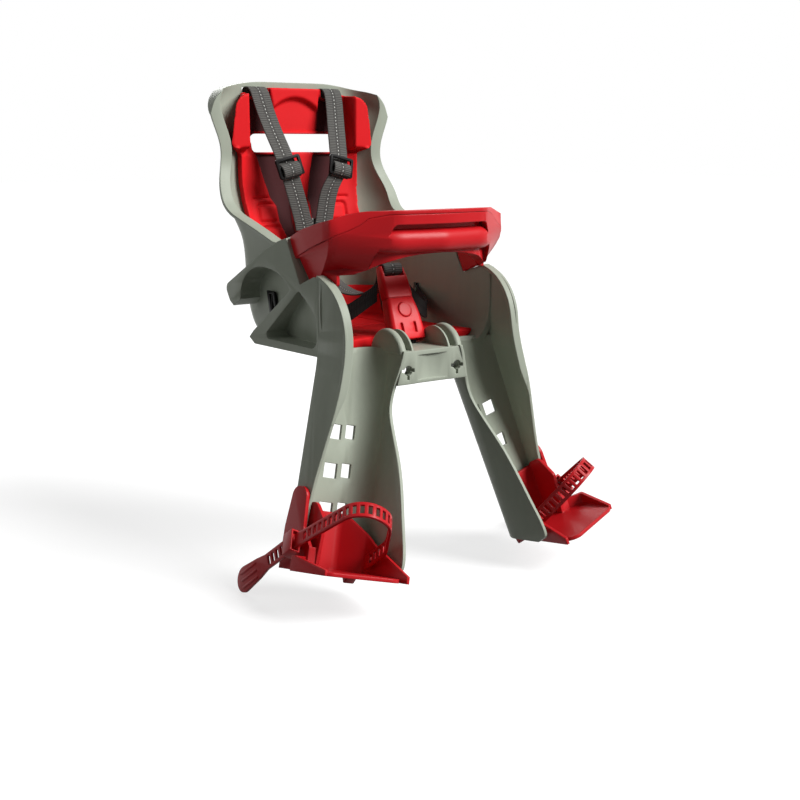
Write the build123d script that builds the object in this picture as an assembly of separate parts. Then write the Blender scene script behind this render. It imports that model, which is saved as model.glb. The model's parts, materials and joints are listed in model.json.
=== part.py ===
from build123d import *
import math
import os

# Frame: X across the seat, the child faces -Y, Z up. The origin lies midway between the two
# keyed sockets in the front panel, on the panel's front face. Left is -X.

# Shell walls
wall = 3.5
lip = 10.0                      # how far the rolled rim stands out from the wall
lip_thickness = 4.5
gap = 0.4                       # fit between neighbouring pieces

# Bucket: height, half width at the rear, half width at the waist, half width at the front,
# rear face, corner radius
bucket_levels = [
    (14.0, 74.0, 84.0, 96.0, 246.0, 30.0),
    (24.0, 88.0, 97.0, 111.0, 258.0, 40.0),
    (46.0, 95.0, 105.0, 119.0, 264.0, 45.0),
    (100.0, 98.0, 107.0, 119.0, 272.0, 48.0),
    (138.0, 101.0, 109.0, 119.0, 277.0, 48.0),
    (172.0, 114.0, 117.0, 119.0, 284.0, 48.0),
    (239.0, 106.0, 110.0, 112.0, 291.0, 42.0),
    (268.0, 115.0, 118.0, 119.0, 293.0, 42.0),
    (299.0, 114.0, 117.0, 119.0, 295.0, 41.0),
    (330.0, 112.0, 116.0, 119.0, 297.0, 40.0),
]
bucket_front = 40.0             # where the bucket's sides meet the flat arm walls
cavity_front = 25.0             # the hollow runs out between the arm walls
bucket_waist = 88.0             # where the sides stop narrowing fast
waist_radius = 60.0
arm_half_width = 119.0          # outer face of the arm walls
floor_top = bucket_levels[0][0] + wall

# Side view of the rim (y, z): from the ears down the wings and along the sides to the bar's notch
rim_line = [(263, 420), (263, 214, 60), (234, 165, 40), (138, 132, 40), (105, 142)]
rim_start = 106.0               # the rolled rim ends at the bar's notch
notch_low = (80, 93)
lug_top = (54, 103)
# Side view of the arm's front edge, from the lug down past the knee to the foot
arm_edge = [(46, 102), (26, 95), (7, 78), (-3, 57), (-6, 30), (-8.5, 0), (-9.5, -20), (-7, -50),
            (-3.6, -78), (-0.5, -108), (-1, -150), (-4, -225)]
# Side view of the inner leg wall's front edge, with its rounded toe
guard_edge = [(0, 30), (0.5, 0), (2, -38), (-8, -56), (-34, -90), (-53, -123), (-68, -155),
              (-79, -180), (-80, -190), (-73, -197)]
# Front view of the top edge (x, z), round the ears
top_line = [(-140, 236), (-118, 303, 34), (-60, 316, 200), (60, 316, 200), (118, 303, 34), (140, 236)]

# Legs: each splays outwards and leans forwards on the way down
splay = 0.29                    # outward run for each unit of drop
lean = 0.19                     # forward run for each unit of drop
leg_outer_at_socket = 126.1     # outer face of the outer wall at the sockets' height
leg_inner_at_socket = 43.0      # centre face of the inner wall at the sockets' height
leg_bend_radius = 150.0
leg_corner_radius = 26.0
leg_foot = (140.0, 0.0, -204.0)
leg_low = -235.0
hole_pitch = 42.5               # footrest positions along the leg
hole_rows = (62.5, 62.5 + hole_pitch, 62.5 + 2 * hole_pitch)

# Front panel with the two keyed sockets
socket_half_spacing = 33.7
socket_radius = 5.5
socket_depth = 12.0
panel_low = -15.0
panel_top = 21.0

# Flank ribs outside the arms (y, z)
flank_offset = 116.5
flank_slope = 0.059
flank_depth = 45.0
flank_outline = [(105, 141), (120, 137), (150, 124), (233, 79, 8), (223, 62, 6), (190, 40), (183, 24, 5),
                 (172, 17, 4), (46, 17), (46, 101), (54, 102.5), (80, 92.5)]
flank_arch = [(200, 66), (190, 92), (170, 104), (145, 106), (116, 99), (99, 84)]
flank_window = [(82, 86, 5), (156, 26, 5), (50, 25, 10), (49, 60, 18)]

# Pads
pad_thickness = 10.0
pad_top = 309.0
slot_half_width = 64.3          # opening through the backrest
slot_low = 232.0
slot_high = 254.0
seat_pad_thickness = 12.0

# Webbing
web_width = 25.0
web_thickness = 1.6
strap_spread = 53.0             # shoulder straps' distance from the middle at the top

lap_width = 20.0
lap_exit = (102, 165, 62)       # where the lap strap leaves the bucket

# Front bar
bar_width = 119.5
bar_side = 16.0
cover_thickness = 7.0
bar_top = [(103, 142.5), (24, 172, 150), (-40, 174.5)]
pocket_depth = 11.0             # finger pocket in the bar's front, with the roll standing in it
pocket_outline = [(-61, 159, 6), (61, 159, 6), (78, 126), (84, 90), (-84, 90), (-78, 126)]
roll_line = [(-100, 22), (-58, -6), (0, -14), (58, -6), (100, 22)]
roll_height = 141.0

# Buckle, in its own leaning frame
buckle_plane = Plane(origin=(0, 48, 24.4), x_dir=(1, 0, 0), z_dir=(0, 0.40, 0.917))
crotch_exit = 47.5              # where the crotch strap goes through the seat floor
buckle_height = 49.0
button_height = 34.0
button_radius = 8.5
button_face = -10.6             # front of the button, in front of the body
button_seat = -4.0              # bottom of the button's bore
button_travel = 2.0
tongue_reach = 11.0             # tongue's blade inside the buckle

# Bar screws: x, y, height of the head's seat, height of the tip
bar_screws = [(97, 28, 136, 165.5), (-97, 28, 136, 165.5), (45, -2, 146, 168), (-45, -2, 146, 168)]
screw_radius = 2.0

# Shoulder strap: from the anchor behind the shell, over the pad, down to the sewn joint
strap_path = [(53, 299.8, 284), (53, 300, 296), (53, 297, 303.5), (53, 288, 305.5), (52.5, 279, 302.5),
              (51.5, 273, 291), (46.5, 262, 262), (40, 247, 232), (36.6, 240, 214), (26, 240, 180),
              (14.7, 242, 147), (13.2, 243, 138)]
slider_at = Vector(36.6, 240, 214)
slider_up = (Vector(40, 247, 232) - Vector(32, 239.7, 198)).normalized()

# Footrest plate and ladder straps, in the leg's own frame
plate_top = 0.0
plate_thickness = 4.0
ladder_width = 17.0
ladder_thickness = 2.6
ladder_pitch = 8.0
ladder_bend = 26.0
ladder_loop = [(-19.2, -38.5), (-18.5, -72), (6, -108), (46, -108), (58.5, -12)]
strap_anchor = (-19.2, -49, 17)
strap_turn = (25, -108, 64)
strap_clip = (58.5, -12, 23)
pin_radius = 1.6


def rounded(*corners):
    """Face from corners (x, y) or (x, y, radius), each radius rounding its own corner."""
    points = [Vector(c[0], c[1]) for c in corners]
    radii = [c[2] if len(c) > 2 else 0.0 for c in corners]
    count = len(points)
    ends = []
    middles = []
    for i in range(count):
        here = points[i]
        back = (points[i - 1] - here).normalized()
        ahead = (points[(i + 1) % count] - here).normalized()
        if radii[i] == 0.0:
            ends.append((here, here))
            middles.append(None)
            continue
        half = math.radians(back.get_angle(ahead)) / 2
        reach = radii[i] / math.tan(half)
        ends.append((here + back * reach, here + ahead * reach))
        middles.append(here + (back + ahead).normalized() * (radii[i] / math.sin(half) - radii[i]))
    edges = []
    for i in range(count):
        first, last = ends[i]
        if middles[i] is not None:
            edges.append(ThreePointArc(first, middles[i], last))
        following = ends[(i + 1) % count][0]
        if (following - last).length > 1e-6:
            edges.append(Line(last, following))
    return make_face(edges)


def curved(points, *corners):
    """Face bounded by a smooth curve through the points and straight runs through the corners."""
    runs = [points[-1], *corners, points[0]]
    return make_face([Spline(*points), Polyline(*runs)])


def across(face, half=250.0):
    """Prism across the whole width from a face drawn in (y, z)."""
    return extrude(Plane.YZ * face, half, both=True)


def between(face, near, far):
    """Prism from x = near to x = far from a face drawn in (y, z)."""
    return extrude(Plane.YZ.offset(near) * face, far - near)


def along(face, start, end):
    """Prism from y = start to y = end from a face drawn in (x, z)."""
    return extrude(Plane.XZ.offset(-start) * face, start - end)


def up(face, low, high):
    """Prism from z = low to z = high from a face drawn in (x, y)."""
    return extrude(Plane.XY.offset(low) * face, high - low)


def mirrored(shape):
    return mirror(shape, Plane.YZ)


def both_sides(shape):
    return shape + mirrored(shape)


def ribbon(points, direction, width, thickness):
    """Flat strap along a smooth path, its width lying along the direction."""
    side = Vector(*direction).normalized() * width
    path = Spline(*[Vector(*p) - side * 0.5 for p in points])
    return thicken(Face.extrude(path.edge(), side), thickness / 2, both=True)


def bucket(grow, lift, front=bucket_front):
    sections = []
    for height, half, waist, front_half, rear, corner in bucket_levels:
        face = rounded(
            (-front_half - grow, front), (front_half + grow, front),
            (waist + grow, bucket_waist, waist_radius),
            (half + grow, rear + grow, corner + grow), (-half - grow, rear + grow, corner + grow),
            (-waist - grow, bucket_waist, waist_radius))
        sections.append(Plane.XY.offset(height + lift) * face)
    return loft(sections)


def rim_cutter(drop):
    side = [(c[0] + drop * 0.75, c[1] - drop * 0.75, *c[2:]) for c in rim_line]
    return across(rounded(*side, notch_low, lug_top, arm_edge[0], (-60, arm_edge[0][1]), (-60, 420)))


def top_cutter(drop):
    arch = [(c[0], c[1] - drop, *c[2:]) for c in top_line]
    return along(rounded(*arch, (260, arch[0][1]), (260, 420), (-260, 420), (-260, arch[0][1])), 200, 320)


def leg_outer(z):
    return leg_outer_at_socket - splay * z


def leg_inner(z):
    return leg_inner_at_socket - splay * z


def outer_rear(z):
    """Rear edge of the leg's outer wall."""
    return 42.8 + 0.131 * z


def inner_rear(z):
    """Rear edge of the leg's inner wall."""
    return 53.5 + 0.2535 * z


# The leg's own frame: x outwards, y rearwards, z up the leg, from the foot
leg_up = Vector(-splay, lean, 1).normalized()
leg = Plane(origin=leg_foot, x_dir=(1, 0, splay), z_dir=leg_up)
leg_wall = wall * math.hypot(1, splay)


def leg_channel():
    bend = (leg_outer_at_socket - arm_half_width) / splay
    inner_bend = (leg_outer_at_socket - leg_wall - arm_half_width + wall) / splay
    strip = rounded(
        (arm_half_width, 150), (arm_half_width, bend, leg_bend_radius), (leg_outer(leg_low), leg_low),
        (leg_outer(leg_low) - leg_wall, leg_low),
        (arm_half_width - wall, inner_bend, leg_bend_radius + wall), (arm_half_width - wall, 150))
    side = curved(arm_edge, (outer_rear(-225), -225), (bucket_front + 6, 20))
    outer_wall = along(strip, -30, 70) & across(side)
    sections = []
    for z in (panel_top + 1, leg_low):
        xo = leg_outer(z) - 1 if z < bend else arm_half_width - 1
        xi = leg_inner(z)
        sections.append(Plane.XY.offset(z) * rounded(
            (xo, outer_rear(z)), (xi, inner_rear(z), leg_corner_radius + wall), (xi, -120),
            (xi + leg_wall, -120), (xi + leg_wall, inner_rear(z) - wall, leg_corner_radius),
            (xo, outer_rear(z) - wall)))
    walls = loft(sections, ruled=True) & across(curved(guard_edge, (-20, -240), (120, -240), (120, 40)))
    below = leg * Pos(0, 0, -100) * Box(500, 500, 200)
    holes = []
    for z in hole_rows:
        holes.append(leg * Pos(9, 10, z) * Box(16, 40, 16))
        holes.append(leg * Pos(-10, 10, z + 2) * Box(11, 40, 15))
    return outer_wall + walls - below - holes


def flank():
    plane = Plane(origin=(flank_offset, 0, 0), x_dir=(flank_slope, 1, 0), z_dir=(1, -flank_slope, 0))
    block = extrude(plane * rounded(*flank_outline), -flank_depth)
    arch = extrude(plane * curved(flank_arch, (174, 32), (200, 8), (260, 30)), -flank_depth)
    window = extrude(plane * rounded(*flank_window), -flank_depth)
    return block - arch - window


def centre_post():
    band = up(rounded(
        (-52, 0), (-26, 0, 40), (0, 5, 60), (26, 0, 40), (52, 0),
        (52, wall), (26, wall, 40), (0, 5 + wall, 60), (-26, wall, 40), (-52, wall)), panel_low, panel_top)
    flange = up(rounded((-52, 1), (52, 1), (52, 14), (-52, 14)), panel_low, panel_low + wall)
    boss = Pos(socket_half_spacing, 0, 0) * along(Circle(9.5), 0.5, socket_depth)
    low = leg_inner(panel_low) + 1
    high = leg_inner(panel_top) + 1
    face = rounded((-low, panel_low), (low, panel_low), (high, panel_top), (-high, panel_top))
    inside = along(face, -10, 80)
    plate = up(rounded((-60, 1), (60, 1), (60, 62), (-60, 62)), panel_top - 5, panel_top)
    post = (band + flange + both_sides(boss) + plate) & inside
    pommel = between(curved([(60, 18), (54, 32), (40, 42), (26, 43), (10, 35), (1, 18)]), 34, 43)
    pommel = fillet(pommel.edges().filter_by(GeomType.BSPLINE), 3.5)
    fin = between(curved([(58, 18), (52, 31), (40, 40), (26, 41), (11, 33), (3, 18)]), 24, 26.5)
    return post + both_sides(pommel) + both_sides(fin)


def socket():
    bore = along(Circle(socket_radius), -5, socket_depth + 5)
    lugs = along(Rectangle(17, 4), -5, 5)
    relief = along(Pos(0, -5) * Rectangle(3, 10), -5, 5)
    return Pos(socket_half_spacing, 0, 0) * (bore + lugs + relief)


def make_shell():
    cut = rim_cutter(0) + top_cutter(0)
    rear_only = Pos(0, 250, 200) * Box(400, 2 * (250 - rim_start), 500)
    rim_slab = (rim_cutter(lip_thickness) + top_cutter(lip_thickness) - cut) & rear_only
    rib = flank()
    outside = (bucket(0, 0) - cut) + [bucket(lip, 0) & rim_slab, rib, mirrored(rib)]
    channel_top = up(rounded((36, 20), (115.5, 20), (115.5, 42), (36, 55)), 0, floor_top + 1)
    tub = outside - [bucket(-wall, wall, cavity_front), channel_top, mirrored(channel_top)]
    leg_right = leg_channel()
    shell = tub + [leg_right, mirrored(leg_right), centre_post()]
    back_slot = along(rounded(
        (-slot_half_width - 3, slot_low - 3, 6), (slot_half_width + 3, slot_low - 3, 6),
        (slot_half_width + 3, slot_high + 3, 6), (-slot_half_width - 3, slot_high + 3, 6)), 240, 320)
    strap_slot = Pos(strap_spread, 285, 304) * Box(32, 60, 10)
    lap_slot = Pos(lap_exit) * Box(40, 10, lap_width + 3)
    crotch_slot = Pos(0, crotch_exit, 15) * Box(30, 6, 20)
    cuts = [socket(), strap_slot, lap_slot]
    return shell - [*cuts, *[mirrored(c) for c in cuts], back_slot, crotch_slot]


def make_pads():
    against = bucket(-wall - gap, wall + gap, cavity_front)
    face = bucket(-wall - gap - pad_thickness, wall + gap, cavity_front)
    right_edge = [(62, 112, 10), (80, 150, 30), (84, 200, 40), (84, 231, 4), (101, 240, 8), (95, 297, 20),
                  (40, pad_top, 60)]
    left_edge = [(-c[0], *c[1:]) for c in reversed(right_edge)]
    outline = along(rounded(*right_edge, *left_edge), 250, 320)
    slot = along(rounded(
        (-slot_half_width, slot_low, 5), (slot_half_width, slot_low, 5),
        (slot_half_width, slot_high, 5), (-slot_half_width, slot_high, 5)), 200, 320)
    notch = Pos(strap_spread, 280, pad_top) * Box(30, 60, 22)
    back = (against & outline) - [face, slot, notch, mirrored(notch)]
    seat = against & up(rounded(
        (-106, 52, 10), (-46, 64, 8), (-24, 70, 6), (24, 70, 6), (46, 64, 8), (106, 52, 10),
        (106, 250), (-106, 250)), 0, floor_top + gap + seat_pad_thickness)
    return back, seat


def bar_front(inset):
    """Everything behind the bar's front line, seen from above."""
    w = bar_width - inset
    return rounded(
        (w, 110), (w, 24 + inset, 25), (58, -17 + inset, 40), (0, -25 + inset, 150), (-58, -17 + inset, 40),
        (-w, 24 + inset, 25), (-w, 110))


def bar_back():
    i = bar_width - bar_side
    return rounded((i, 120), (i, 42, 18), (60, 15, 30), (0, 11, 150), (-60, 15, 30), (-i, 42, 18), (-i, 120))


def bar_roll():
    path = Plane.XY.offset(roll_height) * FilletPolyline(*roll_line, radius=40)
    section = Plane(origin=path @ 0, x_dir=(0, 0, 1), z_dir=path % 0) * Ellipse(12.5, pocket_depth - 1)
    return sweep(section, path=path)


def make_bar():
    side = across(rounded(
        *bar_top, (-44, 150), (-34, 124), (8, 112), (30, 105), (46, 103.5), (53.5, 103.8), (77.5, 94.3)))
    ends = along(rounded(
        (-bar_width, 190), (-bar_width, 150, 14), (-108, 90), (108, 90), (bar_width, 150, 14),
        (bar_width, 190)), -60, 130)
    arch = along(curved(
        [(-86, 106), (-62, 119.5), (-30, 126), (0, 127.5), (30, 126), (62, 119.5), (86, 106)]), -60, 60)
    whole = (up(bar_front(0), 60, 190) & side & ends) - [up(bar_back(), 60, 190), arch]
    pocket = along(rounded(*pocket_outline), -60, 60) - up(bar_front(pocket_depth), 80, 200)
    body = (whole - pocket) + (bar_roll() & whole)
    step = [(c[0], c[1] - cover_thickness, *c[2:]) for c in bar_top]
    above = across(rounded(*step, (-60, 173), (-60, 200), (130, 200), (130, step[0][1] - 10)))
    cover = body & above
    housing = body - Pos(0, 0, -gap) * above
    tongue = between(rounded((62, 114), (27, 116), (27, 94, 4), (42, 92, 4), (50, 106)), 104, 108)
    housing = housing + both_sides(tongue)
    return housing, cover


def make_bar_parts():
    housing, cover = make_bar()
    screws = []
    for x, y, seat, tip in bar_screws:
        bore = Pos(x, y, seat) * extrude(Circle(screw_radius + 0.2), tip - seat + gap)
        access = Pos(x, y, seat) * extrude(Circle(2 * screw_radius + gap), -80)
        housing = housing - bore - access
        cover = cover - bore
        shank = Pos(x, y, seat) * extrude(Circle(screw_radius), tip - seat)
        screws.append(shank + Pos(x, y, seat) * extrude(Circle(2 * screw_radius), -3))
    return housing, cover, Compound(children=screws)


def make_slider():
    side = Vector(slider_up.Z, 0, -slider_up.X).normalized()
    plane = Plane(origin=slider_at, x_dir=side, z_dir=side.cross(slider_up))
    frame = up(rounded((-17, -12.5, 3), (17, -12.5, 3), (17, 12.5, 3), (-17, 12.5, 3)), 0, 3.6)
    window = Box(web_width + 2, 5.5, 20)
    frame = frame - Pos(0, 6, 0) * window - Pos(0, -6, 0) * window
    return plane * Pos(0, 0, web_thickness / 2 + 1.2) * frame


def make_strap_anchor():
    return Pos(strap_spread, 298, 277.5) * Box(34, 6.4, 11)


def make_lap_anchor():
    x, y, z = lap_exit
    plate = Pos(x + 3.2, y, z) * Rot(0, 7.3, 3.3) * Box(3, 18, lap_width + 10)
    return plate - Pos(x, y, z) * Box(40, 8, lap_width + 3)


def in_buckle(y, z):
    """World point from the buckle's own middle plane."""
    return buckle_plane.from_local_coords(Vector(0, y, z))


def make_yoke():
    low = [(0, 245.5, 152), (0, 245, 140), (0, 240, 115), (0, 222, 88), (0, 185, 70), (0, 145, 66),
           (0, 114, 72)]
    loop = [in_buckle(15, 72), in_buckle(10, 83), in_buckle(6, 89.5), in_buckle(0, 91.5), in_buckle(-6, 89.5),
            in_buckle(-8, 84), in_buckle(-5.5, 79.5), in_buckle(0, 78)]
    return ribbon(low + loop, (1, 0, 0), web_width, web_thickness)


def make_lap_strap():
    x, y, z = lap_exit
    path = [(21, 77, 77), (32, 83, 71), (58, 92, 57), (82, 114, 52), (93, 146, 58), (97, 161, z),
            (x, y, z), (x + 5, y, z)]
    return ribbon(path, (0, 0, 1), lap_width, web_thickness)


def make_buckle():
    body = loft([
        rounded((-22, -8.5, 5), (22, -8.5, 5), (22, 7.5, 5), (-22, 7.5, 5)),
        Plane.XY.offset(30) * rounded((-21, -9.5, 5), (21, -9.5, 5), (21, 7.5, 5), (-21, 7.5, 5)),
        Plane.XY.offset(buckle_height) * rounded((-18, -7.5, 4), (18, -7.5, 4), (18, 7, 4), (-18, 7, 4))])
    at = Pos(0, button_height)
    body = body - along(at * Circle(button_radius + gap), -20, button_seat)
    body = body - along(at * Circle(6), -20, button_seat + 1.6)
    body = body - Pos(0, 1, buckle_height - tongue_reach / 2) * Box(24, 5, tongue_reach + 4)
    body = body - Pos(0, 0, 2) * Box(web_width + 2, 2.6, 14)
    for x in (-9, 9):
        body = body - Pos(x, -9, 13) * Box(3, 5, 12)
    return buckle_plane * body


def make_button():
    inner_end = button_seat - button_travel - gap
    button = along(Pos(0, button_height) * Circle(button_radius), button_face, inner_end)
    return buckle_plane * fillet(button.edges().sort_by(Axis.Y)[0], 1.2)


def make_spring():
    rest = button_seat + 1.2
    crown = button_seat - button_travel - gap + 0.5
    path = [(-4.5, rest, button_height), (0, crown, button_height), (4.5, rest, button_height)]
    return buckle_plane * ribbon(path, (0, 0, 1), 5, 0.4)


def make_tongue():
    base = buckle_height + gap
    grip = loft([
        Plane.XY.offset(base) * rounded((-18, -7.5, 4), (18, -7.5, 4), (18, 7, 4), (-18, 7, 4)),
        Plane.XY.offset(base + 18) * rounded((-18.5, -7, 4), (18.5, -7, 4), (18.5, 6.5, 4), (-18.5, 6.5, 4)),
        Plane.XY.offset(88) * rounded((-16, -4.5, 3), (16, -4.5, 3), (16, 4.5, 3), (-16, 4.5, 3))])
    grip = grip - Pos(0, 0, 78.5) * Box(web_width + 2, 40, 7)
    return buckle_plane * (grip + Pos(0, 1, base - tongue_reach / 2) * Box(23, 4.2, tongue_reach + 1))


def make_crotch_strap():
    path = [in_buckle(0, 8), in_buckle(0, 2), (0, crotch_exit, 18), (0, crotch_exit, 9)]
    return ribbon(path, (1, 0, 0), web_width, web_thickness)


def make_crotch_anchor():
    return Pos(0, crotch_exit, 10.5) * (Box(38, 14, 5) - Box(web_width + 2, 2.6, 10))


def make_footrest():
    low = plate_top - plate_thickness
    plate = up(rounded(
        (-25, -6, 8), (36, 4, 4), (36, -19), (48.5, -19), (49, -24), (70, -34, 10), (64, -88, 14),
        (-20, -110, 14)), low, plate_top)
    tab = between(rounded(
        (22, low), (20, 40), (11, 84, 11.5), (-13, 84, 11.5), (-15, 40, 10), (-30, 22), (-30, low)),
        44.3, 48.5)
    cheek = between(rounded((3.5, low), (3.5, 64, 8), (-18, 70, 10), (-37, 50, 5), (-30, low)), 34.8, 38.8)
    web = between(rounded((-19, low), (-26, 22), (-30, 22), (-30, low)), 36, 46)
    rim = up(rounded((46, -20), (70, -32), (64.5, -86), (60.5, -86), (65.5, -36), (46, -26)), low, 14)
    rim = rim & between(rounded((-18, low), (-18, 11), (-36, 12, 10), (-90, 1), (-90, low)), 40, 80)
    guard = up(rounded((38, 4), (-7, 1, 12), (-27, -34, 20), (-27, -106), (-23.5, -106), (-23.5, -33, 17),
                       (-5, -3, 9), (38, 0)), low, 70)
    guard = guard & between(rounded(
        (10, low), (10, 62), (-8, 60, 10), (-42, 33, 30), (-109, 2), (-109, low)), -60, 60)
    hole = Pos(0, strap_anchor[1], strap_anchor[2]) * extrude(Plane.YZ * Circle(pin_radius + 0.2), -60)
    return plate + tab + cheek + web + rim + guard - hole


def strap_height(x, y):
    """Height of the ladder strap's plane over the leg's own (x, y)."""
    a = Vector(*strap_anchor)
    normal = (Vector(*strap_turn) - a).cross(Vector(*strap_clip) - a)
    return a.Z - (normal.X * (x - a.X) + normal.Y * (y - a.Y)) / normal.Z


def strap_normal():
    a = Vector(*strap_anchor)
    return (Vector(*strap_turn) - a).cross(Vector(*strap_clip) - a).normalized()


def ladder_plane():
    a = Vector(*strap_anchor)
    return Plane(origin=a, x_dir=Vector(*strap_clip) - a, z_dir=strap_normal())


def make_foot_strap():
    plane = ladder_plane()
    loop = [plane.to_local_coords(Vector(x, y, strap_height(x, y))) for x, y in ladder_loop]
    path = FilletPolyline(*[(p.X, p.Y) for p in loop], radius=ladder_bend)
    strap = plane * extrude(trace(path, ladder_thickness), ladder_width / 2, both=True)
    rungs = []
    for i in range(int(path.length / ladder_pitch) - 3):
        at = (1.5 + i) * ladder_pitch / path.length
        frame = Plane(origin=path @ at, x_dir=path % at, z_dir=(0, 0, 1))
        rungs.append(plane * frame * Box(ladder_pitch - 3.5, 12, ladder_width - 7))
    hang = Plane(origin=strap_clip, x_dir=(0, 0.88, -0.475), z_dir=(1, 0, 0))
    edge = ladder_width / 2
    flap = rounded((-6, -edge), (48, -edge, 12), (64, -12, 8), (106, -17, 14), (106, 15, 14), (64, 11, 8),
                   (48, edge, 12), (-6, edge))
    tail = hang * extrude(flap, ladder_thickness / 2, both=True)
    rungs += [hang * Pos(u, 0, 0) * Box(ladder_pitch - 3.5, ladder_width - 7, 12) for u in range(18, 50, 8)]
    grips = [hang * Pos(82, v, 0) * Box(30, 2.4, ladder_thickness + 2) for v in (-9, -1, 7)]
    return strap + tail - rungs + grips


def make_clip():
    plane = Plane(origin=strap_clip, x_dir=(1, 0, 0), z_dir=strap_normal())
    window = Box(ladder_thickness + 5, 60, ladder_width + 5)
    frame = plane * (Box(11.5, 16, ladder_width + 8.5) - window)
    stub = Pos(0, strap_clip[1], strap_clip[2]) * between(Circle(5), 48.5 + gap, strap_clip[0])
    return frame + (stub - plane * Box(9, 60, 40))


def make_pin():
    at = Pos(0, strap_anchor[1], strap_anchor[2])
    return at * (between(Circle(pin_radius), -29, -18) + between(Circle(4.2), -29, -27.2))


def make_latch():
    top = plate_top - plate_thickness - gap
    return between(rounded((-20, top), (-8, top), (-12, top - 10, 2)), -26, -13)


os.makedirs("parts", exist_ok=True)


def save(name, shape):
    export_step(shape, f"parts/{name}.step")


def save_pair(name, shape):
    save(f"{name}_right", shape)
    save(f"{name}_left", mirrored(shape))


save("seat_shell", make_shell())
back_pad, seat_pad = make_pads()
save("back_pad", back_pad)
save("seat_pad", seat_pad)
housing, cover, screws = make_bar_parts()
save("bar_housing", housing)
save("bar_cover", cover)
save("bar_screws", screws)
save_pair("shoulder_strap", ribbon(strap_path, (1, 0, 0), web_width, web_thickness))
save_pair("strap_slider", make_slider())
save("strap_anchors", both_sides(make_strap_anchor()))
save("yoke_strap", make_yoke())
save_pair("lap_strap", make_lap_strap())
save("lap_anchors", both_sides(make_lap_anchor()))
save("buckle_body", make_buckle())
save("buckle_button", make_button())
save("buckle_spring", make_spring())
save("buckle_tongue", make_tongue())
save("crotch_strap", make_crotch_strap())
save("crotch_anchor", make_crotch_anchor())
save_pair("footrest", leg * make_footrest())
save_pair("foot_strap", leg * make_foot_strap())
save_pair("foot_strap_clip", leg * make_clip())
save_pair("foot_strap_pin", leg * make_pin())
save_pair("footrest_latch", leg * make_latch())
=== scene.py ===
import bpy
import json
import math
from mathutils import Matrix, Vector


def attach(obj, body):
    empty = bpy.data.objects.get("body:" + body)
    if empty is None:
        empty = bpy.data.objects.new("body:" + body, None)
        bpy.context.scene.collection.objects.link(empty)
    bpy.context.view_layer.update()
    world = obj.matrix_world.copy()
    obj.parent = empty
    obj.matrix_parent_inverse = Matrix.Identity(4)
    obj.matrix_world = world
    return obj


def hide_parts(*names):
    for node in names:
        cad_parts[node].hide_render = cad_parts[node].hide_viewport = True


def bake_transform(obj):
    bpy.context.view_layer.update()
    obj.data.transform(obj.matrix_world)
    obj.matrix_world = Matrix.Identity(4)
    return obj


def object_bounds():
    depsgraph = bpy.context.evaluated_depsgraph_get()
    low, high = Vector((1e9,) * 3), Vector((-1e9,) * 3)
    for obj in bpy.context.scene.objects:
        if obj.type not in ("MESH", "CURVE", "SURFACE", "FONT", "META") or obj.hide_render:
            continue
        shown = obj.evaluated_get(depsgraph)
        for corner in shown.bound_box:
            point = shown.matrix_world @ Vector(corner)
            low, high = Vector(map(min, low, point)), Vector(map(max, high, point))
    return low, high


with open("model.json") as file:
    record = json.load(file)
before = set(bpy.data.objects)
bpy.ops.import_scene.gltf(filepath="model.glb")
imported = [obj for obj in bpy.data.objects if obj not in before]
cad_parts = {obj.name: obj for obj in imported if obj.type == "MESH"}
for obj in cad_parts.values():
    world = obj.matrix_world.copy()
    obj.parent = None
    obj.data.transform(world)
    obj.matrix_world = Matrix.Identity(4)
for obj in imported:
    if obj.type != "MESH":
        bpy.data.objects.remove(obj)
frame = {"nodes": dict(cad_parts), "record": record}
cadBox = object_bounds()
nodes = frame["nodes"]
bodyRows = frame["record"]["behaviour"]["bodies"].items()
bodyOfNode = {node: body for body, names in bodyRows for node in names}
slotOfNode = {row["node"]: row["material_slot"] for row in frame["record"]["subparts"]}
bpy.context.scene.view_settings.view_transform = "Standard"
print("frame loaded:", len(nodes), "nodes")

# places, routes and reliefs are in millimetres; widths, edges and thicknesses are in metres
mm = 0.001
perMetre = 1000


def deselect():
    if bpy.context.object and bpy.context.object.mode != "OBJECT":
        bpy.ops.object.mode_set(mode="OBJECT")
    bpy.ops.object.select_all(action="DESELECT")


def pick(piece):
    deselect()
    piece.select_set(True)
    bpy.context.view_layer.objects.active = piece


def setAll(target, settings):
    for key, value in settings.items():
        setattr(target, key, value)


def applySteps(piece, steps):
    # adds each modifier with its settings and applies it
    pick(piece)
    for kind, settings in steps:
        step = piece.modifiers.new(kind.lower(), kind)
        setAll(step, settings)
        bpy.ops.object.modifier_apply(modifier=step.name)


def ramp(value, low, high):
    t = min(1.0, max(0.0, (value - low) / (high - low)))
    return t * t * (3 - 2 * t)


def inside(value, span):
    return span[0] < value < span[1]


def between(rows, at):
    # straight stretches between rows that run down from the first
    for (start, first), (end, last) in zip(rows, rows[1:]):
        if at >= end:
            return first + (last - first) * min(1.0, max(0.0, (start - at) / (start - end)))
    return rows[-1][1]


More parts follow.
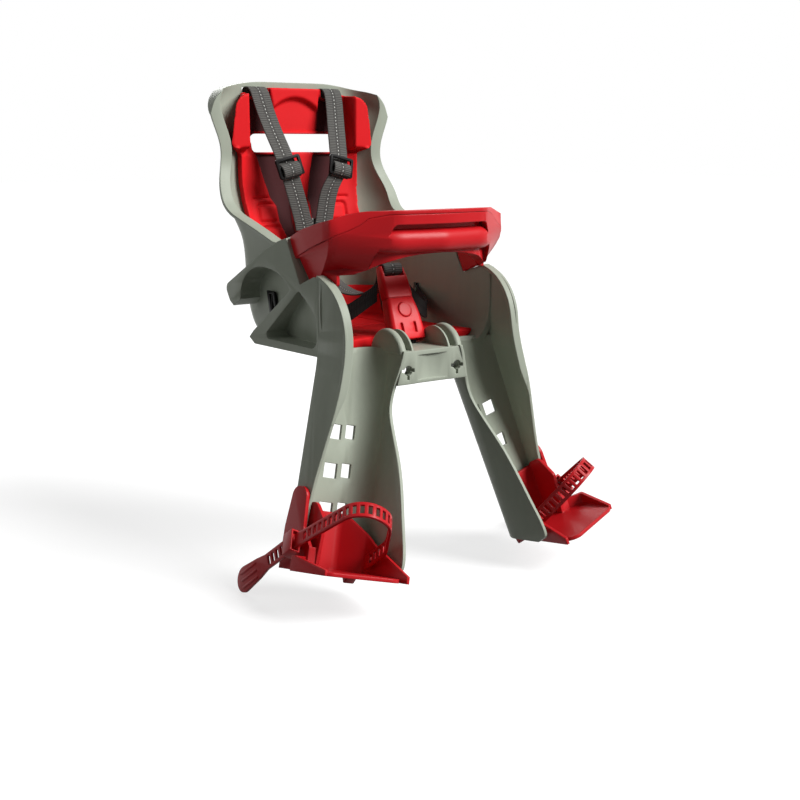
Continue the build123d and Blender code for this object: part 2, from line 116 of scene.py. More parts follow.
class Wire:
    # one output socket; sums on it add Math nodes
    def __init__(self, tree, socket):
        self.tree = tree
        self.socket = socket

    def sum(self, operation, first, second):
        step = self.tree.nodes.new("ShaderNodeMath")
        step.operation = operation
        for place, value in enumerate((first, second)):
            if isinstance(value, Wire):
                self.tree.links.new(value.socket, step.inputs[place])
            else:
                step.inputs[place].default_value = value
        return Wire(self.tree, step.outputs[0])

    def __add__(self, other):
        return self.sum("ADD", self, other)

    __radd__ = __add__

    def __sub__(self, other):
        return self.sum("SUBTRACT", self, other)

    def __rsub__(self, other):
        return self.sum("SUBTRACT", other, self)

    def __mul__(self, other):
        return self.sum("MULTIPLY", self, other)

    __rmul__ = __mul__

    def __truediv__(self, other):
        return self.sum("DIVIDE", self, other)

    def __rtruediv__(self, other):
        return self.sum("DIVIDE", other, self)

    def __gt__(self, other):
        return self.sum("GREATER_THAN", self, other)

    def __lt__(self, other):
        return self.sum("LESS_THAN", self, other)


class Finish:
    # a material: its shader's constants first, then what changes over the surface
    def __init__(self, name, **shader):
        self.material = bpy.data.materials.new(name)
        self.material.use_nodes = True
        self.tree = self.material.node_tree
        self.shader = self.tree.nodes["Principled BSDF"]
        for socket, value in shader.items():
            self.shader.inputs[socket.replace("_", " ")].default_value = value

    def add(self, kind, settings=None, out=0, **sockets):
        # one node: its settings first, then its sockets by name, or by number as in i6
        step = self.tree.nodes.new(kind)
        setAll(step, settings or {})
        for key, value in sockets.items():
            target = step.inputs[int(key[1:]) if key[1:].isdigit() else key.replace("_", " ")]
            if isinstance(value, Wire):
                self.tree.links.new(value.socket, target)
            else:
                target.default_value = value
        return Wire(self.tree, step.outputs[out])

    def place(self):
        return self.add("ShaderNodeTexCoord", out="Object")

    def noise(self, scale, detail, at=None):
        return self.add("ShaderNodeTexNoise", Vector=at or self.place(), Scale=scale, Detail=detail)

    def calc(self, operation, source):
        return self.add("ShaderNodeMath", {"operation": operation}, i0=source)

    def mix(self, factor, first, second):
        first = first if isinstance(first, Wire) else (*first, 1.0)
        second = second if isinstance(second, Wire) else (*second, 1.0)
        return self.add("ShaderNodeMix", {"data_type": "RGBA"}, out=2,
                        i0=factor, i6=first, i7=second)

    def feed(self, **inputs):
        for key, wire in inputs.items():
            self.tree.links.new(wire.socket, self.shader.inputs[key.replace("_", " ")])

    def bump(self, height, strength, distance, edge=0.0):
        sockets = {"Height": height, "Strength": strength, "Distance": distance}
        if edge:
            sockets["Normal"] = self.add("ShaderNodeBevel", {"samples": 6}, Radius=edge)
        self.feed(Normal=self.add("ShaderNodeBump", None, **sockets))


def makeShellFinish():
    look = {
        "light": (0.345, 0.378, 0.310), "dark": (0.248, 0.270, 0.219), "edge": 0.0014,
        "cloud": 9.0, "grain": 1500.0, "streak": (120.0, 120.0, 5.0),
        "cloudTone": 0.5, "grainTone": 0.15, "streakTone": 0.35,
        "rough": 0.30, "roughSpread": 0.10, "bump": 0.18, "bumpDepth": 0.0004,
    }
    finish = Finish("shellFinish", Specular_IOR_Level=0.12)
    cloud = finish.noise(look["cloud"], 4.0)
    grain = finish.noise(look["grain"], 2.0)
    drawn = finish.add("ShaderNodeMapping", None, Vector=finish.place(), Scale=look["streak"])
    streak = finish.noise(1.0, 3.0, drawn)
    tone = cloud * look["cloudTone"] + grain * look["grainTone"] + streak * look["streakTone"]
    finish.feed(Base_Color=finish.mix(tone, look["dark"], look["light"]),
                Roughness=look["rough"] + cloud * look["roughSpread"] + grain * look["roughSpread"])
    finish.bump(grain, look["bump"], look["bumpDepth"], look["edge"])
    return finish.material


def makeRedFinish(name, colour, deep, rough):
    look = {
        "cloud": 14.0, "grain": 2200.0, "cloudRough": 0.06, "grainRough": 0.08,
        "bump": 0.10, "bumpDepth": 0.0003, "edge": 0.0016,
    }
    finish = Finish(name, Specular_IOR_Level=0.15)
    cloud = finish.noise(look["cloud"], 3.0)
    grain = finish.noise(look["grain"], 2.0)
    finish.feed(Base_Color=finish.mix(cloud, deep, colour),
                Roughness=rough + cloud * look["cloudRough"] + grain * look["grainRough"])
    finish.bump(grain, look["bump"], look["bumpDepth"], look["edge"])
    return finish.material


def makePadFinish():
    look = {
        # the gutter colour is near-black painted shade for the strap gutters
        "red": (0.66, 0.009, 0.013), "deep": (0.56, 0.007, 0.010), "gutter": (0.022, 0.005, 0.006),
        "pore": 1700.0, "cloud": 25.0, "rough": 0.50, "poreRough": 0.20,
        "bump": 0.22, "bumpDepth": 0.0003,
    }
    finish = Finish("padFoam", Specular_IOR_Level=0.12)
    pore = finish.add("ShaderNodeTexVoronoi", None, Vector=finish.place(), Scale=look["pore"])
    cloud = finish.noise(look["cloud"], 4.0)
    # painted shade: the gutter attribute darkens the strap gutters towards near black
    paintedShade = finish.add("ShaderNodeAttribute", {"attribute_name": "gutter"}, out=2)
    red = finish.mix(cloud, look["deep"], look["red"])
    finish.feed(Base_Color=finish.mix(paintedShade, red, look["gutter"]),
                Roughness=look["rough"] + pore * look["poreRough"])
    finish.bump(pore, look["bump"], look["bumpDepth"])
    return finish.material


def makeWebFinish(name, pale, dark, stitched):
    # ribs across and threads along, plainer down the middle and at the borders
    look = {
        "rib": 0.0023, "threads": 17, "middle": 0.12, "border": 0.47,
        "plainRib": 0.30, "sideRib": 0.70, "ribShare": 0.75, "threadShare": 0.25,
        "fuzz": 900.0, "weaveTone": 0.8, "fuzzTone": 0.2, "rough": 0.72, "fuzzRough": 0.16,
        "thread": (0.50, 0.50, 0.47), "stitchPitch": 0.0046, "stitchPart": 0.40,
        "stitchHalf": 0.018, "stitchRise": 0.6, "bump": 0.7, "bumpDepth": 0.0006,
    }
    finish = Finish(name, Specular_IOR_Level=0.15)
    uv = finish.add("ShaderNodeUVMap", {"uv_map": "webbing"})
    across = finish.add("ShaderNodeSeparateXYZ", None, out=0, Vector=uv)
    lengthwise = finish.add("ShaderNodeSeparateXYZ", None, out=1, Vector=uv)
    ribs = finish.calc("SINE", lengthwise * (2 * math.pi / look["rib"])) * 0.5 + 0.5
    threads = finish.calc("SINE", across * (2 * math.pi * look["threads"])) * 0.5 + 0.5
    fromMiddle = finish.calc("ABSOLUTE", across - 0.5)
    sides = (fromMiddle > look["middle"]) * (fromMiddle < look["border"])
    ribs = ribs * (look["plainRib"] + sides * look["sideRib"])
    weave = ribs * look["ribShare"] + threads * look["threadShare"]
    fuzz = finish.noise(look["fuzz"], 4.0)
    cloth = finish.mix(weave * look["weaveTone"] + fuzz * look["fuzzTone"], dark, pale)
    phase = finish.calc("FRACT", lengthwise / look["stitchPitch"])
    dash = (phase < look["stitchPart"]) * (fromMiddle < look["stitchHalf"])
    if stitched:
        cloth = finish.mix(dash, cloth, look["thread"])
    finish.feed(Base_Color=cloth, Roughness=look["rough"] + fuzz * look["fuzzRough"])
    finish.bump(weave + dash * look["stitchRise"], look["bump"], look["bumpDepth"])
    return finish.material


def makeBlackFinish():
    look = {
        "deep": (0.006, 0.006, 0.006), "black": (0.013, 0.012, 0.012), "grain": 1800.0,
        "rough": 0.30, "grainRough": 0.14, "bump": 0.12, "bumpDepth": 0.0003, "edge": 0.0008,
    }
    finish = Finish("sliderBlack", Specular_IOR_Level=0.05)
    grain = finish.noise(look["grain"], 2.0)
    finish.feed(Base_Color=finish.mix(grain, look["deep"], look["black"]),
                Roughness=look["rough"] + grain * look["grainRough"])
    finish.bump(grain, look["bump"], look["bumpDepth"], look["edge"])
    return finish.material


def makeSteelFinish():
    look = {"dull": (0.42, 0.42, 0.43), "bright": (0.60, 0.60, 0.60), "brush": 400.0,
            "rough": 0.28, "brushRough": 0.2}
    finish = Finish("zincSteel", Metallic=1.0)
    brushed = finish.noise(look["brush"], 5.0)
    finish.feed(Base_Color=finish.mix(brushed, look["dull"], look["bright"]),
                Roughness=look["rough"] + brushed * look["brushRough"])
    return finish.material


finishes = {
    "shell": makeShellFinish(),
    "pad": makePadFinish(),
    "red_plastic": makeRedFinish("barRed", (0.50, 0.010, 0.014), (0.44, 0.008, 0.012), 0.26),
    "foot_plastic": makeRedFinish("footRed", (0.43, 0.009, 0.013), (0.37, 0.007, 0.010), 0.28),
    "webbing": makeWebFinish("harnessWeb", (0.145, 0.142, 0.132), (0.022, 0.021, 0.020), True),
    "black_plastic": makeBlackFinish(),
    "steel": makeSteelFinish(),
}
# the buckle's red is brighter than the bar's, and the lap straps are darker than the harness
buckleRed = makeRedFinish("buckleRed", (0.60, 0.011, 0.015), (0.54, 0.009, 0.013), 0.26)
lapWeb = makeWebFinish("lapWeb", (0.030, 0.028, 0.027), (0.008, 0.008, 0.008), False)
print("finishes made:", len(finishes) + 2)


def dress(piece, material):
    piece.data.materials.clear()
    piece.data.materials.append(material)


def wear(piece, slotName, finish=None):
    dress(piece, finish or finishes[slotName])


def settle(piece, name, finish=None, bend=None):
    # the piece takes the node's place and finish, and rides on its body; one given a bend is left
    # unattached
    if bend:
        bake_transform(piece)
    else:
        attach(piece, bodyOfNode[name])
    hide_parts(name)
    wear(piece, slotOfNode[name], finish)


# mouldings: what counts as flat, sharp and smooth, in degrees, and how near corners are merged
moulding = {"flat": 0.4, "sharp": 32.0, "smooth": 40.0, "merge": 0.00002}


def copyOf(name, label):
    mesh = nodes[name].data.copy()
    piece = bpy.data.objects.new(label, mesh)
    bpy.context.scene.collection.objects.link(piece)
    pick(piece)
    bpy.ops.mesh.customdata_custom_splitnormals_clear()
    bpy.ops.object.mode_set(mode="EDIT")
    bpy.ops.mesh.select_all(action="SELECT")
    bpy.ops.mesh.remove_doubles(threshold=moulding["merge"])
    bpy.ops.object.mode_set(mode="OBJECT")
    return piece


def smoothFaces(degrees):
    bpy.ops.object.shade_smooth_by_angle(angle=math.radians(degrees))


# the shell's rim: where it starts, clear of the pad's slot and of the shoulder straps' slots
rim = {
    "width": 0.0042, "segments": 5, "behind": 107, "above": 126,
    "slot": {"half": 72, "below": 262, "behind": 255},
    "strapSlot": {"out": (34, 72), "up": (297, 311), "behind": 265},
}


def onRim(x, y, z):
    slot, strapSlot = rim["slot"], rim["strapSlot"]
    inSlot = abs(x) < slot["half"] and z < slot["below"] and y > slot["behind"]
    beside = inside(abs(x), strapSlot["out"]) and inside(z, strapSlot["up"])
    inStrapSlot = beside and y > strapSlot["behind"]
    return y > rim["behind"] and z > rim["above"] and not inSlot and not inStrapSlot


def roundEdges(piece, width, segments, inRegion):
    # bevels the sharp edges whose middle lies in the region
    pick(piece)
    bpy.ops.object.mode_set(mode="EDIT")
    bpy.ops.mesh.select_mode(type="EDGE")
    bpy.ops.mesh.select_all(action="DESELECT")
    bpy.ops.mesh.edges_select_sharp(sharpness=math.radians(moulding["sharp"]))
    bpy.ops.object.mode_set(mode="OBJECT")
    mesh = piece.data
    kept = []
    for edge in mesh.edges:
        first, last = (mesh.vertices[v].co for v in edge.vertices)
        if edge.select and inRegion(*((first + last) / 2 * perMetre)):
            kept.append(edge.index)
    for group in (mesh.vertices, mesh.edges, mesh.polygons):
        group.foreach_set("select", [False] * len(group))
    for index in kept:
        mesh.edges[index].select = True
        for v in mesh.edges[index].vertices:
            mesh.vertices[v].select = True
    bpy.ops.object.mode_set(mode="EDIT")
    bpy.ops.mesh.bevel(offset=width, segments=segments, affect="EDGES", clamp_overlap=True)
    bpy.ops.object.mode_set(mode="OBJECT")
    print("edges rounded:", piece.name, len(kept))


# front bar: top and parting line by distance back, front line by distance out, and the ends'
# setback by height; the cover's front corners sink, and the right-hand tongue is drawn back
barLook = {
    "top": [(103, 142.5), (24, 172.0), (-40, 174.5)],
    "parting": [(103, 117.0), (94, 120.5), (60, 133.5), (26, 144.5),
                (8, 156.0), (0, 165.5), (-10, 169.5), (-40, 170.5)],
    "stepFrom": 4.0, "stepTo": 10.5, "gap": 0.4,
    "front": [(119.5, 24.0), (58, -17.0), (0, -25.0)],
    "setback": [(174, 11.0), (160, 1.5), (150, 0.0), (140, 3.0),
                (126, 13.0), (112, 26.5), (101, 39.0), (90, 53.0)],
    "endFrom": 62.0, "endFull": 106.0,
    "corner": {"at": 24.0, "out": (80.0, 119.0), "reach": 58.0, "sink": 6.0},
    "tongue": {"out": (103.5, 108.5), "back": (26.5, 62.5), "below": 116.5,
               "drawnTo": 45, "drawnShare": 0.5, "drawnUp": 103.0},
    "cuts": (152, 144, 136, 128, 120, 112),
}


def shapeBar(piece, isCover):
    look, corner, tongue = barLook, barLook["corner"], barLook["tongue"]
    bpy.ops.object.mode_set(mode="EDIT")
    for height in look["cuts"]:
        bpy.ops.mesh.select_all(action="SELECT")
        bpy.ops.mesh.bisect(plane_co=(0, 0, height * mm), plane_no=(0, 0, 1))
    bpy.ops.object.mode_set(mode="OBJECT")
    for vertex in piece.data.vertices:
        x, y, z = vertex.co * perMetre
        inTongue = inside(abs(x), tongue["out"]) and inside(y, tongue["back"])
        if inTongue and z < tongue["below"]:
            if x > 0:
                y = tongue["drawnTo"] + (y - tongue["back"][0]) * tongue["drawnShare"]
                vertex.co = (x * mm, y * mm, max(z, tongue["drawnUp"]) * mm)
            continue
        below = between(look["top"], y) - z
        line = between(look["parting"], y)
        if isCover:
            near = 1.0 - ramp(abs(y - corner["at"]), 0.0, corner["reach"])
            sunk = z - corner["sink"] * near * ramp(abs(x), *corner["out"])
            z = line if below > look["stepFrom"] else sunk
        else:
            line = line - look["gap"]
            z = line if below < look["stepTo"] else min(z, line)
        share = ramp(abs(x), look["endFrom"], look["endFull"])
        if share:
            y = max(y, between(look["front"], abs(x)) + share * between(look["setback"], z))
        vertex.co = (x * mm, y * mm, z * mm)


def softened(name, width, segments):
    # a moulding's own edges: coplanar triangles joined, corners rounded
    piece = copyOf(name, name + "Moulding")
    bpy.ops.object.mode_set(mode="EDIT")
    bpy.ops.mesh.select_all(action="SELECT")
    bpy.ops.mesh.dissolve_limited(angle_limit=math.radians(moulding["flat"]))
    bpy.ops.object.mode_set(mode="OBJECT")
    if name == "seat_shell":
        roundEdges(piece, rim["width"], rim["segments"], onRim)
    elif name.startswith("bar_"):
        shapeBar(piece, name == "bar_cover")
    applySteps(piece, [("BEVEL", {
        "width": width, "segments": segments, "limit_method": "ANGLE",
        "angle_limit": math.radians(moulding["sharp"]), "use_clamp_overlap": True})])
    smoothFaces(moulding["smooth"])
    settle(piece, name, buckleRed if name.startswith("buckle") else None)


edgeWidths = {
    "seat_shell": 0.0011, "bar_housing": 0.003, "bar_cover": 0.0028,
    "buckle_body": 0.0016, "buckle_tongue": 0.0014, "buckle_button": 0.0006,
    "strap_slider_left": 0.0008, "strap_slider_right": 0.0008,
    "footrest_left": 0.0011, "footrest_right": 0.0011,
    "foot_strap_left": 0.0005, "foot_strap_right": 0.0005,
    "foot_strap_clip_left": 0.0009, "foot_strap_clip_right": 0.0009,
    "footrest_latch_left": 0.0009, "footrest_latch_right": 0.0009,
    "strap_anchors": 0.001, "lap_anchors": 0.0007, "crotch_anchor": 0.001,
}
twoSteps = ("foot_strap", "seat_shell", "strap")  # rounded in two steps, the others in three
for name, width in edgeWidths.items():
    softened(name, width, 2 if name.startswith(twoSteps) else 3)
for name in ("bar_screws", "foot_strap_pin_left", "foot_strap_pin_right"):
    dress(nodes[name], finishes["steel"])
print("mouldings softened:", len(edgeWidths))


# a strip drawn along its route, with the weave's own map
strip = {"thickness": 0.0016, "round": 0.0004, "onPoint": 1e-5, "levels": 3, "smooth": 45.0}


def makeStrip(label, route, side, width, thickness=strip["thickness"], edge=strip["round"]):
    points = [Vector(p) * mm for p in route]
    half = Vector(side) * (width / 2)

    def reach(place, point):
        return min((place - point - half).length, (place - point + half).length)

    deselect()
    bpy.ops.mesh.primitive_plane_add(size=1.0)
    piece = bpy.context.object
    piece.name = label
    corners = [points[0] - half, points[0] + half, points[1] - half, points[1] + half]
    for vertex, place in zip(piece.data.vertices, corners):
        vertex.co = place
    for last, point in zip(points[1:], points[2:]):
        bpy.ops.object.mode_set(mode="EDIT")
        bpy.ops.mesh.select_all(action="DESELECT")
        bpy.ops.mesh.select_mode(type="VERT")
        bpy.ops.object.mode_set(mode="OBJECT")
        for vertex in piece.data.vertices:
            vertex.select = reach(vertex.co, last) < strip["onPoint"]
        bpy.ops.object.mode_set(mode="EDIT")
        bpy.ops.mesh.extrude_region_move(TRANSFORM_OT_translate={"value": point - last})
        bpy.ops.object.mode_set(mode="OBJECT")
    mesh = piece.data
    lengths = [0.0]
    for first, second in zip(points, points[1:]):
        lengths.append(lengths[-1] + (second - first).length)
    while mesh.uv_layers:
        mesh.uv_layers.remove(mesh.uv_layers[0])
    layer = mesh.uv_layers.new(name="webbing")
    for loop in mesh.loops:
        place = mesh.vertices[loop.vertex_index].co
        nearest = min(range(len(points)), key=lambda i: reach(place, points[i]))
        out = (place - points[nearest]).dot(Vector(side)) / width
        layer.data[loop.index].uv = (0.5 + out, lengths[nearest])
    applySteps(piece, [
        ("SUBSURF", {"levels": strip["levels"], "render_levels": strip["levels"],
                     "boundary_smooth": "PRESERVE_CORNERS"}),
        ("SOLIDIFY", {"thickness": thickness, "offset": 0.0}),
        ("BEVEL", {"width": edge, "segments": 3, "limit_method": "ANGLE"}),
    ])
    smoothFaces(strip["smooth"])
    return piece


# the buckle's own axes, from its lower end on the seat
buckle = {"from": (0, 48, 24.4), "up": (0, 0.40, 0.917), "back": (0, 0.917, -0.40)}
buckleUp = Vector(buckle["up"]).normalized()
buckleBack = Vector(buckle["back"]).normalized()


def inBuckle(y, z):
    return tuple(Vector(buckle["from"]) + buckleBack * y + buckleUp * z)


# harness: routes of the right-hand straps, and the stretch over which a strap bends in a pose
straps = {
    "width": 0.025, "lapWidth": 0.020,
    "shoulder": [(53, 299.8, 284), (53, 300, 296), (53, 298, 307.5), (53, 288, 310.4),
                 (52.5, 278, 306), (51.5, 273, 291), (46.5, 262, 262), (40, 247, 232),
                 (36.6, 240, 214)],
    "rightLower": [(31, 237, 203), (21, 238.5, 189), (17.5, 240.5, 170), (14.5, 242, 147),
                   (13.2, 243, 138)],
    "leftLower": [(26, 240, 180), (14.7, 242, 147), (13.2, 243, 138)],
    "lap": [(21, 77, 77), (31, 82, 70), (54, 91, 51), (78, 111, 46), (92, 145, 55),
            (97, 161, 62), (102, 165, 62), (107, 165, 62)],
    "lapBend": [(72, 104, 54), (30, 82, 72)],
    "yoke": [(0, 245.5, 152), (0, 245, 140), (0, 240, 115), (0, 222, 88), (0, 185, 70),
             (0, 145, 66), (0, 114, 72)],
    # the yoke's loop through the tongue, in the buckle's own axes
    "yokeLoop": [(15, 72), (10, 83), (6, 89.5), (0, 91.5), (-6, 89.5), (-8, 84), (-5.5, 79.5),
                 (0, 78)],
    "crotch": [(0, 51.2, 31.7), (0, 48.8, 26.2), (0, 47.5, 18), (0, 47.5, 9)],
}
# webbing folded over each slider's middle bar, as distance up the strap and out from it
sliderFold = {
    "at": (36.6, 240, 214), "up": (8, 7.3, 34), "width": 0.0245,
    "route": [(4.5, 2.0), (3.5, 5.5), (0.5, 8.0), (-4.0, 8.9), (-8.5, 8.0), (-11.5, 5.0),
              (-13.0, 1.6)],
}
acrossX = (1, 0, 0)
foldUp = Vector(sliderFold["up"]).normalized()
foldAcross = Vector((foldUp.z, 0, -foldUp.x)).normalized()
foldOut = foldAcross.cross(foldUp)


def asDrawn(p):
    return p


def mirrored(p):
    return (-p[0], p[1], p[2])


for side, turn in (("right", asDrawn), ("left", mirrored)):
    route = [turn(p) for p in straps["shoulder"] + straps[f"{side}Lower"]]
    web = makeStrip(f"{side}ShoulderWeb", route, acrossX, straps["width"])
    settle(web, f"shoulder_strap_{side}")
    route = [turn(p) for p in straps["lap"]]
    lap = makeStrip(f"{side}LapWeb", route, (0, 0, 1), straps["lapWidth"])
    bendFrom, bendTo = (Vector(turn(p)) * mm for p in straps["lapBend"])
    settle(lap, f"lap_strap_{side}", lapWeb, ("seat", "tongue", bendFrom, bendTo))
    route = [turn(tuple(Vector(sliderFold["at"]) + foldUp * u + foldOut * v))
             for u, v in sliderFold["route"]]
    fold = makeStrip(f"{side}SliderFold", route, turn(tuple(foldAcross)), sliderFold["width"])
    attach(fold, "seat")
    wear(fold, "webbing")

route = straps["yoke"] + [inBuckle(*p) for p in straps["yokeLoop"]]
yoke = makeStrip("yokeWeb", route, acrossX, straps["width"])
yokeBend = ("seat", "tongue", Vector((0, 0.185, 0.070)), Vector((0, 0.100, 0.079)))
settle(yoke, "yoke_strap", None, yokeBend)
crotch = makeStrip("crotchWeb", straps["crotch"], acrossX, straps["width"])
settle(crotch, "crotch_strap", lapWeb)
print("straps laid: 6")


# the spring, which shortens between the buckle's body and the button; its copy is smoothed and left
# unattached
coil = copyOf("buckle_spring", "buckleCoil")
smoothFaces(moulding["smooth"])
middle = sum((v.co for v in coil.data.vertices), Vector()) / len(coil.data.vertices)
along = [(v.co - middle).dot(buckleBack) for v in coil.data.vertices]
coilBend = (bodyOfNode["buckle_spring"], bodyOfNode["buckle_button"],
            middle + buckleBack * max(along), middle + buckleBack * min(along))
settle(coil, "buckle_spring", None, coilBend)
print("spring set")


# turned-in edges down the arms' fronts, as distance back and height; narrower lower down
armEdge = {
    "route": [(50, 102.5), (46, 101.5), (26, 94.5), (8, 77.5), (-1.5, 57), (-4.5, 30), (-7, 0),
              (-8, -20), (-5.5, -46)],
    "outer": 118.9, "outerAtSocket": 126.0, "splay": 0.29, "inset": 5.2,
    "width": 0.0105, "thickness": 0.0042, "round": 0.0018,
    "taper": (10.0, 46.0), "taperLoss": 0.65,
}


def armOuter(z):
    return max(armEdge["outer"], armEdge["outerAtSocket"] - armEdge["splay"] * z)


for side, sign in (("Right", 1), ("Left", -1)):
    route = [(sign * (armOuter(z) - armEdge["inset"]), y, z) for y, z in armEdge["route"]]
    roll = makeStrip(f"armEdge{side}", route, acrossX,
                     armEdge["width"], armEdge["thickness"], armEdge["round"])
    for vertex in roll.data.vertices:
        x, y, z = vertex.co * perMetre
        outer = armOuter(z)
        kept = 1.0 - armEdge["taperLoss"] * ramp(-z, *armEdge["taper"])
        vertex.co.x = sign * (outer - (outer - abs(x)) * kept) * mm
    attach(roll, "seat")
    wear(roll, "shell")
print("arm edges turned: 2")


# foam pads: moulded relief pressed into a remeshed copy, with painted shade darkening the back
# pad's strap gutters; a line's depth is a share of lineDepth
padRelief = {
    "voxel": 0.0016, "even": (0.5, 7), "soften": (0.4, 2),
    # the strap gutters are carved, and darkened with painted shade
    "gutterDepth": 6.0, "gutterSoft": 2.2, "gutterPaintedShade": 0.97, "lineDepth": 3.6,
    "bucketMiddle": 120, "facing": (0.3, 0.75),
    # strap gutters, carved and darkened with painted shade, as height, inner edge and outer edge
    "gutter": [(312, 38, 66), (292, 34, 68), (255, 30, 68), (228, 22, 58), (200, 15, 50),
               (177, 10, 43), (168, 13, 36), (148, 13, 34), (130, 9, 26), (108, 6, 20)],
    # flat panel under the headrest roll, ending in an arch
    "panel": {"above": 254, "half": 46, "top": 297, "span": 33, "drop": 14,
              "depth": 1.7, "soft": 2.5},
    # side blocks beside the shoulders: front plane, inner edge, and outer edge by height
    "bolster": {"front": 261.0, "inner": (71.0, 76.0), "low": (232.0, 239.0),
                "outer": [(297, 93.0), (238, 101.5)], "undercut": 0.78, "behind": 0.8},
    # lines beside and below the side blocks
    "bolsterLine": {"above": 226, "full": 236, "out": 70.5, "outSoft": 1.7, "level": 233,
                    "levelSoft": 1.5, "levelFrom": (70, 76), "half": 2.4, "depth": 1.2},
    # line across the back below the slot
    "row": {"above": 176, "level": 177, "half": 1.2, "soft": 1.1, "depth": 0.7,
            "from": (40, 46), "to": (66, 70)},
    # raised blocks of the lower back, as distance out, height, width and length
    "blocks": [(49, 159, 27, 21), (46, 133, 24, 19), (0, 161, 24, 22), (0, 134, 14, 18)],
    "blockLine": {"corner": 4, "half": 1.5, "soft": 1.3, "depth": 0.8, "reach": 16},
    # seat: a line along each side and one across the rear
    "seatSide": {"out": 46, "half": 2.4, "soft": 1.6, "from": (80, 90)},
    "seatCross": {"back": 150, "half": 2.2, "soft": 1.4, "depth": 0.8, "to": (42, 46)},
}


def groove(distance, half, soft):
    return 1.0 - ramp(abs(distance), half - soft, half + soft)


def gutterAt(x, z):
    rows = padRelief["gutter"]
    for (high, inner1, outer1), (low, inner2, outer2) in zip(rows, rows[1:]):
        if low <= z <= high:
            t = (high - z) / (high - low)
            inner = inner1 + t * (inner2 - inner1)
            outer = outer1 + t * (outer2 - outer1)
            return groove(x - (inner + outer) / 2, (outer - inner) / 2, padRelief["gutterSoft"])
    return 0.0


def boxLine(x, z, block):
    # a groove round a block with rounded corners
    line = padRelief["blockLine"]
    blockX, blockZ, wide, tall = block
    dx = abs(x - blockX) - wide / 2 + line["corner"]
    dz = abs(z - blockZ) - tall / 2 + line["corner"]
    outside = math.hypot(max(dx, 0), max(dz, 0)) + min(max(dx, dz), 0) - line["corner"]
    return line["depth"] * groove(outside, line["half"], line["soft"])


def backCarve(x, z):
    x = abs(x)
    lines = 0.0
    panel, line, row = padRelief["panel"], padRelief["bolsterLine"], padRelief["row"]
    if z > panel["above"] and x < panel["half"]:
        arch = panel["top"] - (x / panel["span"]) ** 2 * panel["drop"]
        lines = panel["depth"] * (1.0 - ramp(z, arch - panel["soft"], arch + panel["soft"]))
    if z > line["above"]:
        beside = groove(x - line["out"], line["half"], line["outSoft"])
        under = groove(z - line["level"], line["half"], line["levelSoft"])
        lines = max(lines, line["depth"] * beside * ramp(z, line["above"], line["full"]),
                    line["depth"] * under * ramp(x, *line["levelFrom"]))
    elif z > row["above"]:
        across = row["depth"] * groove(z - row["level"], row["half"], row["soft"])
        lines = max(lines, across * ramp(x, *row["from"]) * (1.0 - ramp(x, *row["to"])))
    for block in padRelief["blocks"]:
        if abs(z - block[1]) < padRelief["blockLine"]["reach"]:
            lines = max(lines, boxLine(x, z, block))
    return gutterAt(x, z), lines


def seatCarve(x, y):
    x = abs(x)
    side, cross = padRelief["seatSide"], padRelief["seatCross"]
    along = groove(x - side["out"], side["half"], side["soft"]) * ramp(y, *side["from"])
    across = cross["depth"] * groove(y - cross["back"], cross["half"], cross["soft"])
    return 0.0, max(along, across * (1 - ramp(x, *cross["to"])))


def blockOut(place, isFront):
    # draws the pad's side parts out to flat fronts
    block = padRelief["bolster"]
    x, y, z = place
    share = ramp(abs(x), *block["inner"]) * ramp(z, *block["low"])
    plane = block["front"] if isFront else max(y, block["front"] + block["behind"])
    edge = between(block["outer"], z) - (plane - block["front"]) * block["undercut"]
    wide = min(abs(x), edge) if share > 0.5 else abs(x)
    return Vector((math.copysign(wide, x), y + (plane - y) * share, z))


def smoothing(factor, iterations):
    return ("SMOOTH", {"factor": factor, "iterations": iterations})


def makePad(label, name, carve, upward, extra=None):
    piece = copyOf(name, label)
    if extra:
        extra.select_set(True)
        bpy.ops.object.join()
    applySteps(piece, [("REMESH", {"mode": "VOXEL", "voxel_size": padRelief["voxel"]}),
                       smoothing(*padRelief["even"])])
    mesh = piece.data
    # painted shade: near black in the strap gutters, following the gutter mask
    paintedShade = mesh.attributes.new("gutter", "FLOAT", "POINT")
    normals = [v.normal.copy() for v in mesh.vertices]
    places = [v.co * perMetre for v in mesh.vertices]
    facing = padRelief["facing"]
    for index, (place, normal) in enumerate(zip(places, normals)):
        if upward:
            front = normal.z
        else:  # towards the middle of the bucket
            forward = padRelief["bucketMiddle"] - place.y
            away = math.hypot(forward, place.x)
            front = (normal.y * forward - normal.x * place.x) / away
        moved = place if upward else blockOut(place, front > facing[0])
        mesh.vertices[index].co = moved * mm
        if front < facing[0]:
            continue
        gutter, lines = carve(place.x, place.y if upward else place.z)
        depth = max(gutter * padRelief["gutterDepth"], lines * padRelief["lineDepth"])
        mesh.vertices[index].co = (moved - normal * (depth * ramp(front, *facing))) * mm
        paintedShade.data[index].value = padRelief["gutterPaintedShade"] * gutter
    applySteps(piece, [smoothing(*padRelief["soften"])])
    bpy.ops.object.shade_smooth()
    settle(piece, name)


makePad("backFoam", "back_pad", backCarve, False)
# the seat pad's upturned rear, as distance back and height, bent round the bucket's corners
padRear = {
    "route": [(244, 27), (249.5, 31), (253, 38), (255.5, 47), (258, 58), (259.5, 65)],
    "width": 0.178, "thickness": 0.009, "round": 0.003, "flat": 50.0, "turn": 0.0175,
}
route = [(0, y, z) for y, z in padRear["route"]]
rear = makeStrip("seatFoamRear", route, acrossX,
                 padRear["width"], padRear["thickness"], padRear["round"])
for vertex in rear.data.vertices:
    past = max(0.0, abs(vertex.co.x) * perMetre - padRear["flat"])
    vertex.co.y -= past * past * padRear["turn"] * mm
makePad("seatFoam", "seat_pad", seatCarve, True, rear)
print("pads moulded: 2")


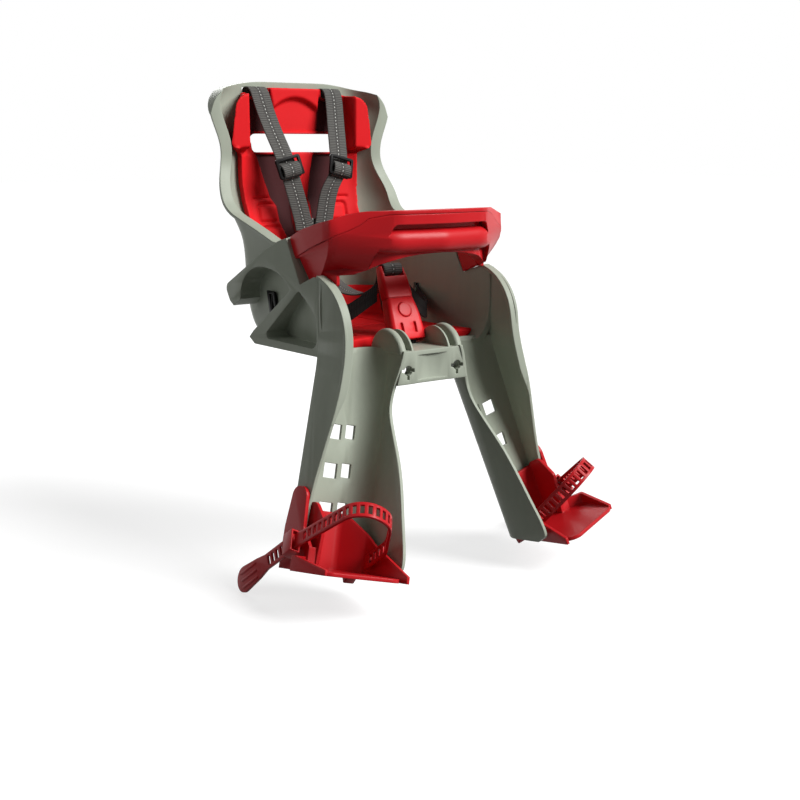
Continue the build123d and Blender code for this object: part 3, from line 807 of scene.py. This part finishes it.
# studio: camera at the photograph's angle, white floor and sky, a broad key from the front right,
# a weak fill at the left and a lamp behind
studio = {
    "camera": (-0.8264, -1.0755, 0.2394), "tilt": 78.514, "turn": -36.0, "lens": 56.25,
    "sensor": 36.0, "floorDrop": 0.0005, "floorSize": 30.0, "floorSeen": (0.34, 0.34, 0.34),
    "floorBounce": (0.14, 0.14, 0.14), "floorGlow": (0.72, 0.72, 0.72), "sky": 0.06,
    "keyFrom": (0.68, -1.0, 0.95), "keyPower": 5.3, "keySpread": 32.0,
    "fill": {"place": (-1.4, 0.45, 0.6), "aim": (0, 0.1, 0.1), "size": 1.0, "power": 3.3},
    "back": {"place": (0.5, 1.9, 0.9), "aim": (0, 0.1, 0.1), "size": 1.2, "power": 14.0},
}


def showing(tree):
    # 1 where the camera sees the background, also in metal and through glass
    rays = tree.nodes.new("ShaderNodeLightPath").outputs
    seen = Wire(tree, rays["Is Camera Ray"]) + Wire(tree, rays["Is Glossy Ray"])
    return seen + Wire(tree, rays["Is Transmission Ray"])


def whiteSky(sky, strength):
    sky.inputs["Color"].default_value = (1.0, 1.0, 1.0, 1.0)
    sky.inputs["Strength"].default_value = strength
    return sky.outputs[0]


def addLamp(label, kind, place, aim, power, **settings):
    lamp = bpy.data.lights.new(label, kind)
    lamp.energy = power
    setAll(lamp, settings)
    holder = bpy.data.objects.new(label, lamp)
    holder.location = place
    holder.rotation_euler = (Vector(aim) - Vector(place)).to_track_quat("-Z", "Y").to_euler()
    bpy.context.scene.collection.objects.link(holder)


deselect()
floorHeight = cadBox[0][2] - studio["floorDrop"]
bpy.ops.mesh.primitive_plane_add(size=studio["floorSize"], location=(0, 0, floorHeight))
floor = bpy.context.object
floor.name = "paleFloor"
ground = Finish("paleGround", Roughness=0.9, Specular_IOR_Level=0.0, Emission_Strength=1.0)
seen = showing(ground.tree)
ground.feed(Base_Color=ground.mix(seen, studio["floorBounce"], studio["floorSeen"]),
            Emission_Color=ground.mix(seen, (0.0, 0.0, 0.0), studio["floorGlow"]))
dress(floor, ground.material)

world = bpy.data.worlds.new("softSky")
bpy.context.scene.world = world
world.use_nodes = True
skyTree = world.node_tree
lighting = whiteSky(skyTree.nodes["Background"], studio["sky"])
backdrop = whiteSky(skyTree.nodes.new("ShaderNodeBackground"), 1.0)
choose = skyTree.nodes.new("ShaderNodeMixShader")
for place, socket in enumerate((showing(skyTree).socket, lighting, backdrop)):
    skyTree.links.new(socket, choose.inputs[place])
skyTree.links.new(choose.outputs[0], skyTree.nodes["World Output"].inputs["Surface"])

addLamp("keyLamp", "SUN", studio["keyFrom"], (0, 0, 0), studio["keyPower"],
        angle=math.radians(studio["keySpread"]))
for label in ("fill", "back"):
    lamp = studio[label]
    addLamp(f"{label}Lamp", "AREA", lamp["place"], lamp["aim"], lamp["power"],
            shape="DISK", size=lamp["size"])

lens = bpy.data.cameras.new("photoCamera")
lens.lens = studio["lens"]
lens.sensor_width = studio["sensor"]
eye = bpy.data.objects.new("photoCamera", lens)
eye.location = studio["camera"]
eye.rotation_euler = (math.radians(studio["tilt"]), 0.0, math.radians(studio["turn"]))
bpy.context.scene.collection.objects.link(eye)
bpy.context.scene.camera = eye
print("studio set")
